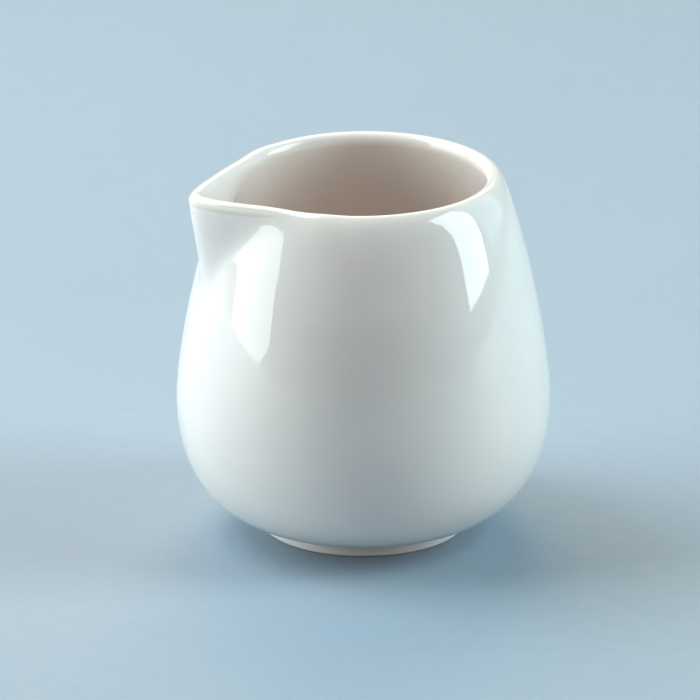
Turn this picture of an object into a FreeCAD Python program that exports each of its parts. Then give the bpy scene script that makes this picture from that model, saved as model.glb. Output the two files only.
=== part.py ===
"""Handleless porcelain cream jug: one slip-cast body and its three coats of glaze.

Millimetres.  The origin is the centre of the standing plane, +Z is up and the spout points along -X.
Every section is followed in one direction: out along the recess under the floor, across the foot ring, up the
outside, over the rim, down the inside and in along the floor.  The outward side is then always the same side.
"""
import FreeCAD, Part
import math
import os

# Overall shape
HEIGHT = 75.0
BELLY_RADIUS = 38.0
BELLY_HEIGHT = 27.8
BELLY_HANDLE_BELOW = 15.5       # how firmly the section keeps to the upright below and above the widest ring
BELLY_HANDLE_ABOVE = 10.8
BASE_RADIUS = 21.3              # where the belly starts, just above the foot ring
BASE_HEIGHT = 2.5
BASE_SLOPE = math.radians(11.5)
BASE_HANDLE = 10.0

# Wall, rim and glaze
WALL = 3.3                      # finished thickness, both coats of glaze included
GLAZE = 0.25
RIM_ROUNDING = WALL / 2
RIM_RADIUS = 26.25              # middle of the rounded rim
RIM_LEAN = math.radians(26.8)   # how far the wall leans inwards where the rounding starts
RIM_HANDLE = 9.75
MOUTH_SHIFT = 0.33              # the mouth sits this far back from the foot's centre, away from the spout

# Spout: above the belly, two flats that meet in a rounded ridge stand out of the round wall and blend into it
SPOUT_REACH = 42.7              # from the axis to the corner of the two flats, at the rim
SPOUT_OVERHANG = 0.19           # how much that reach grows for each unit of height
SPOUT_FLAT_TURN = math.radians(49.4)    # between the spout's direction and the way each flat faces
SPOUT_RIDGE = math.radians(7.8)         # rounding of the corner between the flats
SPOUT_BLEND = 0.65              # softness of the valleys between the flats and the wall
LIP_DIP = 2.1                   # how much lower the lip is than the rest of the rim
LIP_DIP_START = 57.0
LIP_DIP_WIDTH = math.radians(45.6)

# Floor and foot ring
FLOOR_HEIGHT = 5.0
FLOOR_FLAT_RADIUS = 13.3
FOOT_LEAN = math.radians(10.0)
FOOT_INNER_RADIUS = 18.2
COVE = 0.7                      # size of the hollow between foot ring and belly
GLAZE_LINE = 0.5                # the glaze stops this far above the standing plane
FOOT_EDGE = 0.5                 # rounding of the bare ring's edges
RECESS_DEPTH = 1.5
RECESS_FILLET = 1.0

# Fineness of the surfaces
AROUND = 80
CROWDING = 0.55                 # how much closer together the points of a ring are at the spout
WALL_ROWS_BELOW = 12
WALL_ROWS_ABOVE = 38
RIM_ROWS = 7
CURVE_ROWS = 7

RING_STATIONS = [float(index) for index in range(AROUND + 1)]


def bezier(controls, fraction):
    """Point at a fraction of the way along a Bezier curve with any number of (radius, height) controls."""
    points = list(controls)
    while len(points) > 1:
        points = [
            (a[0] + fraction * (b[0] - a[0]), a[1] + fraction * (b[1] - a[1])) for a, b in zip(points, points[1:])
        ]
    return points[0]


def sample(controls, rows):
    """Points spread along a Bezier curve, both ends included."""
    return [bezier(controls, row / (rows - 1)) for row in range(rows)]


def wall_profile():
    """Outside of the wall from the foot's cove to the start of the rim's rounding."""
    start = (BASE_RADIUS, BASE_HEIGHT)
    widest = (BELLY_RADIUS, BELLY_HEIGHT)
    end = (
        RIM_RADIUS + RIM_ROUNDING * math.cos(RIM_LEAN),
        HEIGHT - RIM_ROUNDING + RIM_ROUNDING * math.sin(RIM_LEAN),
    )
    below = sample(
        [
            start,
            (start[0] + BASE_HANDLE * math.cos(BASE_SLOPE), start[1] + BASE_HANDLE * math.sin(BASE_SLOPE)),
            (widest[0], widest[1] - BELLY_HANDLE_BELOW),
            widest,
        ],
        WALL_ROWS_BELOW,
    )
    above = sample(
        [
            widest,
            (widest[0], widest[1] + BELLY_HANDLE_ABOVE),
            (end[0] + RIM_HANDLE * math.sin(RIM_LEAN), end[1] - RIM_HANDLE * math.cos(RIM_LEAN)),
            end,
        ],
        WALL_ROWS_ABOVE,
    )
    return below + above[1:]


def spout_swelling(radius, height, from_spout):
    """How far the spout's flats stand out of the round wall, softened so that they rise out of it smoothly."""
    if height <= BELLY_HEIGHT:
        return 0.0
    corner = SPOUT_REACH - SPOUT_OVERHANG * (HEIGHT - height)
    off_square = math.hypot(from_spout, SPOUT_RIDGE) - SPOUT_FLAT_TURN
    spread = 1 / math.cos(off_square) if off_square < 0 else math.cos(min(off_square, math.pi / 2))
    proud = corner * math.cos(SPOUT_FLAT_TURN) * spread - radius
    return SPOUT_BLEND * math.log1p(math.exp(proud / SPOUT_BLEND))


def lip_dip(height, from_spout):
    """How much the wall is drawn down towards the lip."""
    rise = max(0.0, height - LIP_DIP_START) / (HEIGHT - LIP_DIP_START)
    return LIP_DIP * rise ** 2 * math.exp(-(from_spout / LIP_DIP_WIDTH) ** 2)


def wall_point(radius, height, angle):
    """Point of the outer wall: the plain section, with the spout, the lip's dip and the mouth's shift added."""
    from_spout = math.pi - angle
    reach = radius + spout_swelling(radius, height, from_spout)
    rise = max(0.0, height - BELLY_HEIGHT) / (HEIGHT - BELLY_HEIGHT)
    return FreeCAD.Vector(
        reach * math.cos(angle) + MOUTH_SHIFT * rise ** 2,
        reach * math.sin(angle),
        height - lip_dip(height, from_spout),
    )


def plain_point(radius, height, angle):
    """Point of a surface that is the same all the way round."""
    return FreeCAD.Vector(radius * math.cos(angle), radius * math.sin(angle), height)


def ring_angle(index):
    """Where one point of a ring sits; the spout is at half a turn."""
    turn = 2 * math.pi * index / AROUND
    return turn + CROWDING * math.sin(turn)


def rings_of(profile, point_at):
    """One closed ring of points for each point of a section."""
    angles = [ring_angle(index) for index in range(AROUND)]
    return [[point_at(radius, height, angle) for angle in angles] for radius, height in profile]


def ring_curve(ring):
    """Smooth closed curve through a ring of points."""
    curve = Part.BSplineCurve()
    curve.interpolate(Points=ring, PeriodicFlag=True, Parameters=RING_STATIONS)
    return curve


def row_stations(rings):
    """Distance of each ring from the first, measured along the section opposite the spout."""
    stations = [0.0]
    for lower, upper in zip(rings, rings[1:]):
        stations.append(stations[-1] + upper[0].distanceToPoint(lower[0]))
    return stations


def skin(rings):
    """Smooth surface through a stack of rings, closed round and open at its first and last ring."""
    curves = [ring_curve(ring) for ring in rings]
    stations = row_stations(rings)
    rails = []
    for column in zip(*(curve.getPoles() for curve in curves)):
        rail = Part.BSplineCurve()
        rail.interpolate(Points=list(column), Parameters=stations)
        rails.append(rail)
    surface = Part.BSplineSurface()
    surface.buildFromPolesMultsKnots(
        [rail.getPoles() for rail in rails],
        curves[0].getMultiplicities(),
        rails[0].getMultiplicities(),
        curves[0].getKnots(),
        rails[0].getKnots(),
        True,
        False,
        curves[0].Degree,
        rails[0].Degree,
    )
    return surface


def sunk(rings, depth):
    """The same stack of rings moved squarely into the ware by a depth."""
    if depth == 0:
        return rings
    surface = skin(rings)
    return [
        [point - surface.normal(RING_STATIONS[i], station) * depth for i, point in enumerate(ring)]
        for station, ring in zip(row_stations(rings), rings)
    ]


def rim_rings(wall_rings, depth, start, end):
    """Half-round rim between two angles: 0 is the outside of the wall, pi is the inside."""
    surface = skin(wall_rings)
    top = row_stations(wall_rings)[-1]
    rings = []
    for row in range(RIM_ROWS):
        turn = start + (end - start) * row / (RIM_ROWS - 1)
        ring = []
        for i, point in enumerate(wall_rings[-1]):
            outward = surface.normal(RING_STATIONS[i], top)
            along = surface.getDN(RING_STATIONS[i], top, 1, 0)
            upward = along.cross(outward) * -1
            upward.normalize()
            middle = point - outward * RIM_ROUNDING
            ring.append(middle + (outward * math.cos(turn) + upward * math.sin(turn)) * (RIM_ROUNDING - depth))
        rings.append(ring)
    return rings


def foot_wall_profile():
    """Outer face of the foot ring, from the glaze line up to the cove."""
    top = cove_profile()[0]
    bottom = (top[0] + (top[1] - GLAZE_LINE) * math.tan(FOOT_LEAN), GLAZE_LINE)
    return sample([bottom, top], CURVE_ROWS)


def cove_profile():
    """Small hollow where the foot ring meets the belly."""
    corner = (BASE_RADIUS - COVE * math.cos(BASE_SLOPE), BASE_HEIGHT - COVE * math.sin(BASE_SLOPE))
    below = (corner[0] + COVE * math.sin(FOOT_LEAN), corner[1] - COVE * math.cos(FOOT_LEAN))
    return sample([below, corner, (BASE_RADIUS, BASE_HEIGHT)], CURVE_ROWS)


def floor_profile():
    """Inside, from the bottom of the wall in to the flat middle of the floor."""
    start = (BASE_RADIUS - WALL * math.sin(BASE_SLOPE), BASE_HEIGHT + WALL * math.cos(BASE_SLOPE))
    bend = (start[0] - (start[1] - FLOOR_HEIGHT) / math.tan(BASE_SLOPE), FLOOR_HEIGHT)
    return sample([start, bend, (FLOOR_FLAT_RADIUS, FLOOR_HEIGHT)], CURVE_ROWS)


def recess_profile():
    """Under the floor, from the flat ceiling of the recess out and down to the inner glaze line."""
    return sample(
        [
            (FOOT_INNER_RADIUS - RECESS_FILLET, RECESS_DEPTH),
            (FOOT_INNER_RADIUS, RECESS_DEPTH),
            (FOOT_INNER_RADIUS, GLAZE_LINE),
        ],
        CURVE_ROWS,
    )


def bare_foot_edges(inner_ring, outer_ring):
    """Unglazed roundings on the inside and the outside of the foot ring, down to the standing plane."""
    inner = inner_ring[0]
    outer = outer_ring[0]
    inner_edge = sample([(inner.x, inner.z), (inner.x, 0.0), (inner.x + FOOT_EDGE, 0.0)], CURVE_ROWS)
    outer_edge = sample([(outer.x - FOOT_EDGE, 0.0), (outer.x, 0.0), (outer.x, outer.z)], CURVE_ROWS)
    return rings_of(inner_edge, plain_point), rings_of(outer_edge, plain_point)


def disc(ring):
    """Flat round face inside a ring."""
    return Part.Face(Part.Wire(ring_curve(ring).toShape()))


def standing_face(inner_ring, outer_ring):
    """Flat annulus that the jug stands on."""
    outline = Part.Wire(ring_curve(outer_ring).toShape())
    hole = Part.Wire(ring_curve(inner_ring).toShape())
    hole.reverse()
    return Part.Face([outline, hole])


def band(ring_a, ring_b):
    """Narrow face between two rings."""
    return skin([ring_a, ring_b]).toShape()


def solid_from(faces):
    """Closed solid from faces that meet edge to edge."""
    shell = Part.Shell(faces)
    shell.sewShape()
    solid = Part.Solid(shell)
    if solid.Volume < 0:
        solid.reverse()
    return solid


def faces_of(stacks):
    """One face for each stack of rings; stacks that follow each other share a ring exactly."""
    for before, after in zip(stacks, stacks[1:]):
        after[0] = before[-1]
    return [skin(rings).toShape() for rings in stacks]


def outside_stacks(depth):
    """Foot wall, cove and outer wall at a depth under the finished surface."""
    return [
        sunk(rings_of(foot_wall_profile(), plain_point), depth),
        sunk(rings_of(cove_profile(), plain_point), depth),
        sunk(rings_of(wall_profile(), wall_point), depth),
    ]


def inside_stacks(depth):
    """Inner wall, from the rim down, and the curved edge of the floor."""
    wall = rings_of(wall_profile(), wall_point)
    return [
        sunk(wall, WALL - depth)[::-1],
        sunk(rings_of(floor_profile(), plain_point), depth),
    ]


def rim_stack(depth, start, end):
    return rim_rings(rings_of(wall_profile(), wall_point), depth, start, end)


def recess_stack(depth):
    return sunk(rings_of(recess_profile(), plain_point), depth)


def make_porcelain_body():
    """Bare fired porcelain under the glaze: wall, floor, foot ring, rim and spout in one piece."""
    recess = recess_stack(GLAZE)
    outside = outside_stacks(GLAZE)
    inside = inside_stacks(GLAZE)
    rim = [rim_stack(GLAZE, 0.0, math.pi / 2), rim_stack(GLAZE, math.pi / 2, math.pi)]
    inner_edge, outer_edge = bare_foot_edges(recess[-1], outside[0][0])
    flats = [disc(recess[0]), standing_face(inner_edge[-1], outer_edge[0]), disc(inside[-1][-1])]
    return solid_from(faces_of([recess, inner_edge]) + faces_of([outer_edge] + outside + rim + inside) + flats)


def make_outer_glaze():
    """Outer coat from the foot ring's glaze line to the middle of the rim."""
    finished = outside_stacks(0) + [rim_stack(0, 0.0, math.pi / 2)]
    under = outside_stacks(GLAZE) + [rim_stack(GLAZE, 0.0, math.pi / 2)]
    ends = [band(finished[0][0], under[0][0]), band(finished[-1][-1], under[-1][-1])]
    return solid_from(faces_of(finished) + faces_of(under) + ends)


def make_liner_glaze():
    """Inner coat from the middle of the rim to the middle of the floor."""
    finished = [rim_stack(0, math.pi / 2, math.pi)] + inside_stacks(0)
    under = [rim_stack(GLAZE, math.pi / 2, math.pi)] + inside_stacks(GLAZE)
    ends = [band(finished[0][0], under[0][0]), disc(finished[-1][-1]), disc(under[-1][-1])]
    return solid_from(faces_of(finished) + faces_of(under) + ends)


def make_underside_glaze():
    """Patch of glaze in the recess, inside the bare standing edge."""
    finished = recess_stack(0)
    under = recess_stack(GLAZE)
    ends = [band(finished[-1], under[-1]), disc(finished[0]), disc(under[0])]
    return solid_from(faces_of([finished]) + faces_of([under]) + ends)


PARTS = {
    "porcelain_body": make_porcelain_body,
    "outer_glaze": make_outer_glaze,
    "liner_glaze": make_liner_glaze,
    "underside_glaze": make_underside_glaze,
}

os.makedirs("parts", exist_ok=True)
for name, make in PARTS.items():
    shape = make()
    if not (shape.isValid() and shape.isClosed()):
        raise RuntimeError(name + " is not a valid closed solid")
    shape.exportStep("parts/" + name + ".step")
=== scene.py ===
"""Looks of the porcelain cream jug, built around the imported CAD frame.

Metres.  The CAD glaze coats give the exact surface.  Their section is sampled in many half-planes round the
jug's axis and rebuilt as clean quads, one closed thin shell per coat.  The bare porcelain keeps its CAD node.

Known fault: the underside's coat is thickened to the wrong side, so it hangs one coat's thickness below the
porcelain of the recess.
"""
import math

import bpy
import numpy as np
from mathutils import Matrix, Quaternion, Vector
from mathutils.bvhtree import BVHTree


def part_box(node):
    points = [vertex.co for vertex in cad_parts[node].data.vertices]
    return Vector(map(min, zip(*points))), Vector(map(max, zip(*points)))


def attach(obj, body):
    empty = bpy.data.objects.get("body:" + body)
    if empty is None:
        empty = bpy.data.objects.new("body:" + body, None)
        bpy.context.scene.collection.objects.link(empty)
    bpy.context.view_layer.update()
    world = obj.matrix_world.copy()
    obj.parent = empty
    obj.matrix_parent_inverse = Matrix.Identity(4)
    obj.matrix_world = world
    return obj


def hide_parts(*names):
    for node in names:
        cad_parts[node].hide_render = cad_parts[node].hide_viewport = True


MM = 0.001
UP = Vector((0, 0, 1))

# Studio: the camera and the lights look at one point and are placed in degrees and metres from it
MIDDLE = Vector((0, 0, 37.5 * MM))
CAMERA_AZIMUTH = -17.5          # azimuth 0 looks along +Y
CAMERA_ELEVATION = 19.876
CAMERA_DISTANCE = 2.0
CAMERA_LENS = 506.96
CAMERA_SHIFT = (-0.0191, -0.003)
LIGHT_DISTANCE = 0.9
TABLE_HALF_WIDTH = 3.0
ROOM_COLOUR = (1.0, 0.93, 0.86, 1)
ROOM_STRENGTH = 0.02

# Each soft light: name, left, right, low and high edge in degrees, radiance in red, green and blue, roll
SOFTBOXES = [
    ("left_softbox", -115, -70, -8, 72, (4.4, 4.85, 4.75), 26),
    ("left_fill", -145, -110, -8, 60, (1.6, 1.7, 2.1), 0),
    ("right_softbox", 72, 100, 2, 53, (6.2, 7.1, 7.1), 0),
    ("right_fill", 101, 135, 3, 51, (0.4, 1.0, 1.3), 0),
    ("back_light", 160, 210, 25, 60, (3.4, 2.7, 1.9), 0),
    ("front_fill", -45, 45, 8, 32, (0.5, 0.34, 0.27), 0),
]

# Sampling of the CAD surface: half-planes round the axis, and steps along each section
AROUND = 360
OUTSIDE_STEPS = 130
OUTSIDE_EASE = 1.7              # above 1 the steps are closer together at the foot
RIM_STEPS = 16
RIM_SEARCH_ROUNDS = 4
INSIDE_STEPS = 90
UNDERSIDE_STEPS = 48
AIM_HEIGHT_SHARE = 0.48         # height of the rays' common point, as a share of the jug's height
FAR = 0.3                       # rays that come in from outside start this far out
START_UP = 0.1 * MM             # a section starts this far above the glaze's lower edge
BELOW_RIM = 3.0 * MM            # first guess of the rim's centre, below the top
RIM_RAY_START = 3               # rays at the rim start this many rim radii from its centre
RECESS_AIM_DROP = 2             # the recess's common point lies this many recess depths below it
HARMONICS_KEPT = 72             # waves round the axis that the low-pass keeps
SMOOTHING_PASSES = 2

# Soft turn of the glaze over the rim: the normals are blended along each section.  The first share holds up
# to the first angle from the spout, in radians, and the second share from the second angle on.
EASING_PASSES = 24
EASING_ANGLES = (0.68, 0.9)
EASING_SHARES = (0.15, 0.9)

# Glaze coats
COAT = 0.25 * MM
LIP_STEPS = 4
SHADE_LOW = 55 * MM              # the painted shade inside the jug fades out between these heights: full below, plain white above
SHADE_HIGH = 72 * MM
SPECK_CORE = 0.6                # share of a speck's radius that has its full colour

# Colours, in pairs where a surface wanders between two
WHITE = ((0.83, 0.80, 0.765, 1), (0.81, 0.785, 0.755, 1))
# Painted shade: the liner's pair is darker and warmer than the white outside and stands in for the shade
# inside the jug
LINER_SHADE = ((0.785, 0.695, 0.65, 1), (0.77, 0.685, 0.64, 1))
PINHOLE = (0.62, 0.58, 0.53, 1)
BISQUE = ((0.74, 0.70, 0.63, 1), (0.84, 0.81, 0.75, 1))
BISQUE_SPECK = (0.45, 0.38, 0.30, 1)
BOARD = ((0.29, 0.385, 0.47, 1), (0.31, 0.405, 0.49, 1))


def tree_of(*nodes):
    """Search tree over the triangles of some CAD nodes."""
    points, faces = [], []
    for node in nodes:
        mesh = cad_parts[node].data
        first = len(points)
        points += [v.co.copy() for v in mesh.vertices]
        faces += [[first + i for i in p.vertices] for p in mesh.polygons]
    return BVHTree.FromPolygons(points, faces)


def hit(tree, origin, direction):
    """First point a ray meets."""
    return tree.ray_cast(origin, direction)[0]


def around(step):
    """Outward direction of one half-plane."""
    angle = 2 * math.pi * step / AROUND
    return Vector((math.cos(angle), math.sin(angle), 0.0))


def tilted(outward, turn):
    """Direction in a half-plane, at an angle above the horizontal."""
    return outward * math.cos(turn) + UP * math.sin(turn)


def rim_core(tree, outward, top):
    """Centre of the rounded rim in one half-plane, and the radius of its rounding."""
    height = top - BELOW_RIM
    for _ in range(RIM_SEARCH_ROUNDS):
        outer = hit(tree, outward * FAR + UP * height, -outward)
        inner = hit(tree, UP * height, outward)
        between = (outer + inner) / 2
        radius = (outer - inner).length / 2
        crest = hit(tree, Vector((between.x, between.y, FAR)), -UP)
        height = crest.z - radius
    return Vector((between.x, between.y, height)), radius


def section(tree, outward, base, top):
    """The glazed section in one half-plane: up the outside, over the rim, down the inside to the floor."""
    aim = UP * top * AIM_HEIGHT_SHARE
    core, radius = rim_core(tree, outward, top)
    rim_turn = math.atan2(core.z - aim.z, core.dot(outward))
    foot = hit(tree, outward * FAR + UP * base, -outward)
    foot_turn = math.atan2(foot.z - aim.z, foot.dot(outward))
    points = []
    for step in range(OUTSIDE_STEPS):
        share = (step / OUTSIDE_STEPS) ** OUTSIDE_EASE
        ray = tilted(outward, foot_turn + (rim_turn - foot_turn) * share)
        points.append(hit(tree, aim + ray * FAR, -ray))
    for step in range(RIM_STEPS + 1):
        ray = tilted(outward, rim_turn + math.pi * step / RIM_STEPS)
        points.append(hit(tree, core + ray * radius * RIM_RAY_START, -ray))
    for step in range(1, INSIDE_STEPS):
        ray = tilted(outward, rim_turn - (math.pi / 2 + rim_turn) * step / INSIDE_STEPS)
        points.append(hit(tree, aim, ray))
    return points


def underside_section(tree, outward, low, high):
    """The recess under the floor in one half-plane: up the foot ring's inner wall, then in to the middle."""
    aim = UP * (low - (high - low) * RECESS_AIM_DROP)
    edge = hit(tree, UP * low, outward)
    edge_turn = math.atan2(edge.z - aim.z, edge.dot(outward))
    points = []
    for step in range(UNDERSIDE_STEPS):
        ray = tilted(outward, edge_turn + (math.pi / 2 - edge_turn) * step / UNDERSIDE_STEPS)
        points.append(hit(tree, aim, ray))
    return points


def smooth(grid):
    """Takes the CAD mesh's facets out of a grid: a low-pass round the axis, then one along each section."""
    waves = np.fft.rfft(grid_to_section(np.array(grid)), axis=0)
    waves[HARMONICS_KEPT + 1:] = 0
    flat = np.fft.irfft(waves, n=AROUND, axis=0)
    for _ in range(SMOOTHING_PASSES):
        flat[:, 1:-1] = (flat[:, :-2] + 2 * flat[:, 1:-1] + flat[:, 2:]) / 4
    return section_to_grid(flat)


def grid_to_section(grid):
    """Distance from the axis and height of each point."""
    return np.stack([np.hypot(grid[..., 0], grid[..., 1]), grid[..., 2]], axis=-1)


def section_to_grid(flat):
    """Points in space from their distance from the axis and their height."""
    angles = 2 * np.pi * np.arange(AROUND) / AROUND
    return np.stack([
        flat[..., 0] * np.cos(angles)[:, None],
        flat[..., 0] * np.sin(angles)[:, None],
        flat[..., 1],
    ], axis=-1)


def unit(vectors):
    """Vectors scaled to a length of 1."""
    return vectors / np.linalg.norm(vectors, axis=-1, keepdims=True)


def normals_of(grid):
    """Normals of a grid, outward where its sections run with the solid on their left."""
    round_axis = np.roll(grid, -1, axis=0) - np.roll(grid, 1, axis=0)
    along = np.gradient(grid, axis=1)
    return unit(np.cross(round_axis, along))


def eased(normals):
    """Normals blended along each section, least near the spout, which points along -X."""
    soft = normals.copy()
    for _ in range(EASING_PASSES):
        soft[:, 1:-1] = unit(soft[:, :-2] + 2 * soft[:, 1:-1] + soft[:, 2:])
    from_spout = np.abs(np.pi - 2 * np.pi * np.arange(AROUND) / AROUND)
    share = np.interp(from_spout, EASING_ANGLES, EASING_SHARES)[:, None, None]
    return unit(normals + (soft - normals) * share)


def lip(edge, normal, along):
    """Rows that round a coat off from the body's surface up to its own first row."""
    rows = []
    for step in range(LIP_STEPS):
        turn = math.pi / 2 * (1 - step / LIP_STEPS)
        rows.append(edge - normal * COAT * (1 - math.cos(turn)) - along * COAT * math.sin(turn))
    return np.stack(rows, axis=1)


def closed_shell(over, under, apex):
    """Points and faces of a thin shell.  The apex is two points that close its last rows, or is empty."""
    count_over, count_under = over.shape[1], under.shape[1]
    last_over, last_under = count_over - 1, count_under - 1

    def top(step, row):
        return (step % AROUND) * count_over + row

    def bottom(step, row):
        return AROUND * count_over + (step % AROUND) * count_under + row

    faces = []
    for a in range(AROUND):
        b = a + 1
        for row in range(last_over):
            faces.append([top(a, row), top(b, row), top(b, row + 1), top(a, row + 1)])
        for row in range(last_under):
            faces.append([bottom(a, row), bottom(a, row + 1), bottom(b, row + 1), bottom(b, row)])
        faces.append([bottom(a, 0), bottom(b, 0), top(b, 0), top(a, 0)])
    points = np.concatenate([over.reshape(-1, 3), under.reshape(-1, 3), np.reshape(apex, (-1, 3))])
    centre = len(points) - 2
    for a in range(AROUND):
        b = a + 1
        if apex:
            faces.append([top(a, last_over), top(b, last_over), centre])
            faces.append([bottom(b, last_under), bottom(a, last_under), centre + 1])
        else:
            faces.append([top(a, last_over), top(b, last_over), bottom(b, last_under), bottom(a, last_under)])
    return points, faces


def coat(name, grid, normals, node, lip_at_start, pole):
    """One closed glaze coat: its surface, the same surface sunk by the coat's thickness, and its edges."""
    under = grid - normals_of(grid) * COAT
    over = grid
    if lip_at_start:
        along = unit(grid[:, 1] - grid[:, 0])
        over = np.concatenate([lip(grid[:, 0], normals[:, 0], along), grid], axis=1)
        normals = np.concatenate([normals_of(over)[:, :LIP_STEPS], normals], axis=1)
    vectors = [normals.reshape(-1, 3), -normals[:, -under.shape[1]:].reshape(-1, 3)]
    apex = []
    if pole:
        centre = grid[:, -1].mean(axis=0) * (0, 0, 1)
        outward = unit(normals[:, -1].mean(axis=0))
        apex = [centre, centre - outward * COAT]
        vectors.append([outward, -outward])
    points, faces = closed_shell(over, under, apex)
    mesh = bpy.data.meshes.new(name)
    mesh.from_pydata([tuple(point) for point in points], [], faces)
    mesh.validate()
    mesh.shade_smooth()
    mesh.normals_split_custom_set_from_vertices([tuple(vector) for vector in np.concatenate(vectors)])
    piece = bpy.data.objects.new(name, mesh)
    bpy.context.scene.collection.objects.link(piece)
    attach(piece, "root")
    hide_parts(node)
    return piece


class Nodes:
    """A short way to write shader nodes."""

    def __init__(self, name):
        self.material = bpy.data.materials.new(name)
        self.material.use_nodes = True
        self.tree = self.material.node_tree
        self.surface = self.tree.nodes["Principled BSDF"]
        coordinates = self.tree.nodes.new("ShaderNodeTexCoord")
        self.place = coordinates.outputs["Object"]

    def put(self, socket, value):
        """Links a socket's input, or sets it to a plain value."""
        if isinstance(value, bpy.types.NodeSocket):
            self.tree.links.new(value, socket)
        else:
            socket.default_value = value

    def height(self):
        """Height above the table, in metres."""
        node = self.tree.nodes.new("ShaderNodeSeparateXYZ")
        self.put(node.inputs["Vector"], self.place)
        return node.outputs["Z"]

    def noise(self, size, detail=2.0, roughness=0.5, offset=0.0):
        """Soft noise whose features are about this many metres wide."""
        node = self.tree.nodes.new("ShaderNodeTexNoise")
        node.noise_dimensions = "4D"
        self.put(node.inputs["Vector"], self.place)
        node.inputs["W"].default_value = offset
        node.inputs["Scale"].default_value = 1 / size
        node.inputs["Detail"].default_value = detail
        node.inputs["Roughness"].default_value = roughness
        return node.outputs["Fac"]

    def specks(self, spacing, size):
        """1 on sparse round specks, 0 elsewhere."""
        node = self.tree.nodes.new("ShaderNodeTexVoronoi")
        self.put(node.inputs["Vector"], self.place)
        node.inputs["Scale"].default_value = 1 / spacing
        edge = size / spacing
        return self.ramp(node.outputs["Distance"], edge, edge * SPECK_CORE, 0.0, 1.0)

    def ramp(self, value, start, end, low, high):
        """Smooth change from low to high as the value goes from start to end."""
        node = self.tree.nodes.new("ShaderNodeMapRange")
        node.interpolation_type = "SMOOTHSTEP"
        if start > end:
            start, end, low, high = end, start, high, low
        self.put(node.inputs["Value"], value)
        self.put(node.inputs["From Min"], start)
        self.put(node.inputs["From Max"], end)
        self.put(node.inputs["To Min"], low)
        self.put(node.inputs["To Max"], high)
        return node.outputs["Result"]

    def patches(self, size, offset=0.0):
        """From 0 to 1 in soft-edged patches about this many metres wide."""
        return self.ramp(self.noise(size, offset=offset), 0.35, 0.65, 0.0, 1.0)

    def wander(self, noise, low, high):
        """Value that wanders between low and high with a noise."""
        return self.ramp(noise, 0.3, 0.7, low, high)

    def mix(self, share, first, second):
        """Colour between two, by a share from 0 to 1."""
        node = self.tree.nodes.new("ShaderNodeMix")
        node.data_type = "RGBA"
        self.put(node.inputs["Factor"], share)
        self.put(node.inputs["A"], first)
        self.put(node.inputs["B"], second)
        return node.outputs["Result"]

    def bump(self, height, depth, normal=None):
        """Bump of this many metres from a height of 0 to 1."""
        node = self.tree.nodes.new("ShaderNodeBump")
        node.inputs["Distance"].default_value = depth
        self.put(node.inputs["Height"], height)
        if normal is not None:
            self.put(node.inputs["Normal"], normal)
        return node.outputs["Normal"]

    def finish(self, colour, roughness, normal, ior):
        """Connects the surface and gives the finished material."""
        self.put(self.surface.inputs["Base Color"], colour)
        self.put(self.surface.inputs["Roughness"], roughness)
        self.put(self.surface.inputs["Normal"], normal)
        self.put(self.surface.inputs["IOR"], ior)
        return self.material


def glaze_material(name, shade_pair):
    """Clear gloss over white porcelain with the faint waviness of a poured glaze; low in the jug its colour
    turns to a second pair, which on the liner is painted shade.
    """
    n = Nodes(name)
    plain = n.mix(n.patches(size=14 * MM), *WHITE)
    # Painted shade: low in the jug the colour turns to the second pair, darker and warmer on the liner as the
    # shade inside it; on the outside the pair is the plain white
    painted_shade = n.mix(n.patches(size=11 * MM, offset=5.0), *shade_pair)
    colour = n.mix(n.ramp(n.height(), SHADE_LOW, SHADE_HIGH, 1.0, 0.0), plain, painted_shade)
    colour = n.mix(n.specks(spacing=14 * MM, size=0.09 * MM), colour, PINHOLE)
    roughness = n.wander(n.noise(size=6 * MM, detail=4, offset=3.0), low=0.035, high=0.06)
    waves = n.bump(n.noise(size=9 * MM, detail=1, offset=7.0), depth=0.02 * MM)
    fine = n.bump(n.noise(size=1.2 * MM, detail=2, offset=11.0), depth=0.0006 * MM, normal=waves)
    return n.finish(colour, roughness, fine, ior=1.52)


def bisque_material():
    """Bare fired porcelain: matt, creamy, with a fine sandy grain."""
    n = Nodes("bare_porcelain")
    colour = n.mix(n.noise(size=0.8 * MM, detail=4), *BISQUE)
    colour = n.mix(n.specks(spacing=1.6 * MM, size=0.12 * MM), colour, BISQUE_SPECK)
    roughness = n.wander(n.noise(size=0.5 * MM), low=0.75, high=0.95)
    grain = n.bump(n.noise(size=0.25 * MM, detail=3), depth=0.02 * MM)
    return n.finish(colour, roughness, grain, ior=1.5)


def table_material():
    """Plain pale blue-grey board with a barely visible tooth."""
    n = Nodes("plain_board")
    colour = n.mix(n.noise(size=60 * MM, detail=3), *BOARD)
    roughness = n.wander(n.noise(size=4 * MM), low=0.5, high=0.62)
    tooth = n.bump(n.noise(size=0.7 * MM, detail=3), depth=0.01 * MM)
    return n.finish(colour, roughness, tooth, ior=1.45)


def paint(thing, material):
    """Gives a piece one material."""
    thing.data.materials.clear()
    thing.data.materials.append(material)


def seen_from(azimuth, elevation, distance):
    """A place in the studio: azimuth is to the camera's right, elevation above the table."""
    turn, rise = math.radians(CAMERA_AZIMUTH + azimuth), math.radians(elevation)
    away = Vector((math.sin(turn) * math.cos(rise), -math.cos(turn) * math.cos(rise), math.sin(rise)))
    return away * distance + MIDDLE


def place(thing, location, roll=0.0):
    """Puts a light or the camera somewhere in the studio, looking at the jug."""
    thing.location = location
    thing.rotation_mode = "QUATERNION"
    towards = (MIDDLE - location).to_track_quat("-Z", "Y")
    thing.rotation_quaternion = towards @ Quaternion((0, 0, 1), math.radians(roll))
    bpy.context.scene.collection.objects.link(thing)


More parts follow.
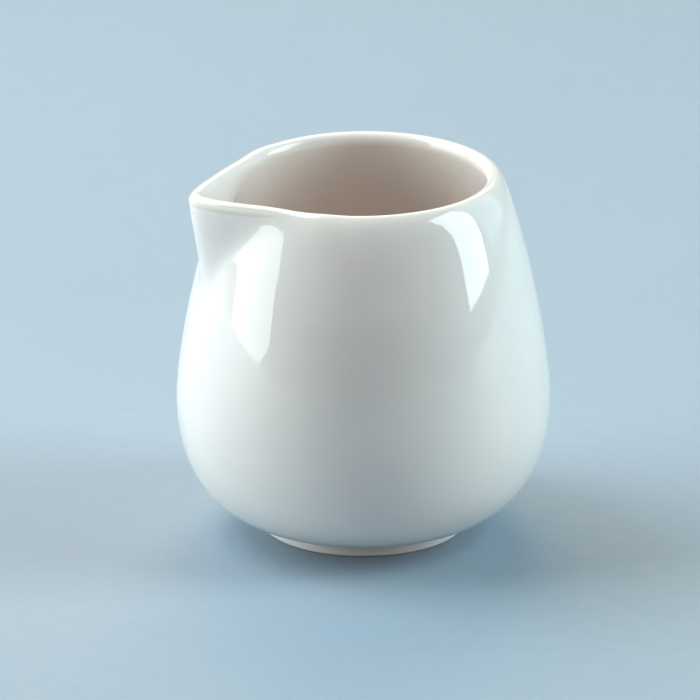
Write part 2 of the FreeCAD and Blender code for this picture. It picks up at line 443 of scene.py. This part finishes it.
def softbox(name, left, right, low, high, radiance, roll):
    """A soft rectangular light that fills a range of directions, seen from the jug."""
    azimuth, elevation = (left + right) / 2, (low + high) / 2
    height = 2 * LIGHT_DISTANCE * math.tan(math.radians(high - low) / 2)
    width = 2 * LIGHT_DISTANCE * math.tan(math.radians(right - left) / 2) * math.cos(math.radians(elevation))
    strength = sum(radiance) / 3
    data = bpy.data.lights.new(name, "AREA")
    data.shape = "RECTANGLE"
    data.size, data.size_y = width, height
    data.energy = math.pi * width * height * strength
    data.color = [channel / strength for channel in radiance]
    lamp = bpy.data.objects.new(name, data)
    lamp.visible_camera = False
    place(lamp, seen_from(azimuth, elevation, LIGHT_DISTANCE), roll)


def room():
    """Very faint warm light from all round."""
    world = bpy.data.worlds.new("room")
    world.use_nodes = True
    background = world.node_tree.nodes["Background"]
    background.inputs["Color"].default_value = ROOM_COLOUR
    background.inputs["Strength"].default_value = ROOM_STRENGTH
    bpy.context.scene.world = world


def table():
    """The plain board that the jug stands on."""
    half = TABLE_HALF_WIDTH
    mesh = bpy.data.meshes.new("table_top")
    corners = [(-half, -half, 0), (half, -half, 0), (half, half, 0), (-half, half, 0)]
    mesh.from_pydata(corners, [], [[0, 1, 2, 3]])
    board = bpy.data.objects.new("table_top", mesh)
    bpy.context.scene.collection.objects.link(board)
    paint(board, table_material())


def camera():
    """A long lens at the jug's front left."""
    data = bpy.data.cameras.new("camera")
    data.lens = CAMERA_LENS
    data.shift_x, data.shift_y = CAMERA_SHIFT
    viewer = bpy.data.objects.new("camera", data)
    place(viewer, seen_from(0, CAMERA_ELEVATION, CAMERA_DISTANCE))
    bpy.context.scene.camera = viewer


def studio():
    """All that surrounds the jug, shown in plain colours."""
    room()
    for box in SOFTBOXES:
        softbox(*box)
    table()
    camera()
    bpy.context.scene.view_settings.view_transform = "Standard"


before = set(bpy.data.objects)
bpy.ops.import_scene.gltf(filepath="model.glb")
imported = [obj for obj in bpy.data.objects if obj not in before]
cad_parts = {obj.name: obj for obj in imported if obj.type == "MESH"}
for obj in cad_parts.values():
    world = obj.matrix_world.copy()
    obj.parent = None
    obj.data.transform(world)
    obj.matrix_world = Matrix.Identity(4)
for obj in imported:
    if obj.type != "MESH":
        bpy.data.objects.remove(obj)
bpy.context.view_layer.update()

glaze_low, glaze_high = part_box("outer_glaze")
under_low, under_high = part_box("underside_glaze")
outline = tree_of("outer_glaze", "liner_glaze")
recess = tree_of("underside_glaze")
directions = [around(step) for step in range(AROUND)]
jug = smooth([section(outline, ray, glaze_low.z + START_UP, glaze_high.z) for ray in directions])
hollow = smooth([underside_section(recess, ray, under_low.z + START_UP, under_high.z) for ray in directions])

# The outer and the inner coat meet half-way through the rim's rays, which is on the rim's inner side
turn_over = OUTSIDE_STEPS + RIM_STEPS // 2
facing = eased(normals_of(jug))
outside = coat(
    "outside_coat", jug[:, :turn_over + 1], facing[:, :turn_over + 1], "outer_glaze",
    lip_at_start=True, pole=False,
)
inside = coat(
    "inside_coat", jug[:, turn_over:], facing[:, turn_over:], "liner_glaze",
    lip_at_start=False, pole=True,
)
# These sections run with the solid on their right, so the normals point into it: this is the known fault
underside = coat(
    "underside_coat", hollow, normals_of(hollow), "underside_glaze",
    lip_at_start=True, pole=True,
)

white_glaze = glaze_material("outer_glaze", WHITE)
paint(outside, white_glaze)
# The liner carries painted shade: a darker, warmer colour low inside the jug in place of the shade that falls
# there
paint(inside, glaze_material("liner_glaze", LINER_SHADE))
paint(underside, white_glaze)
paint(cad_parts["porcelain_body"], bisque_material())

studio()
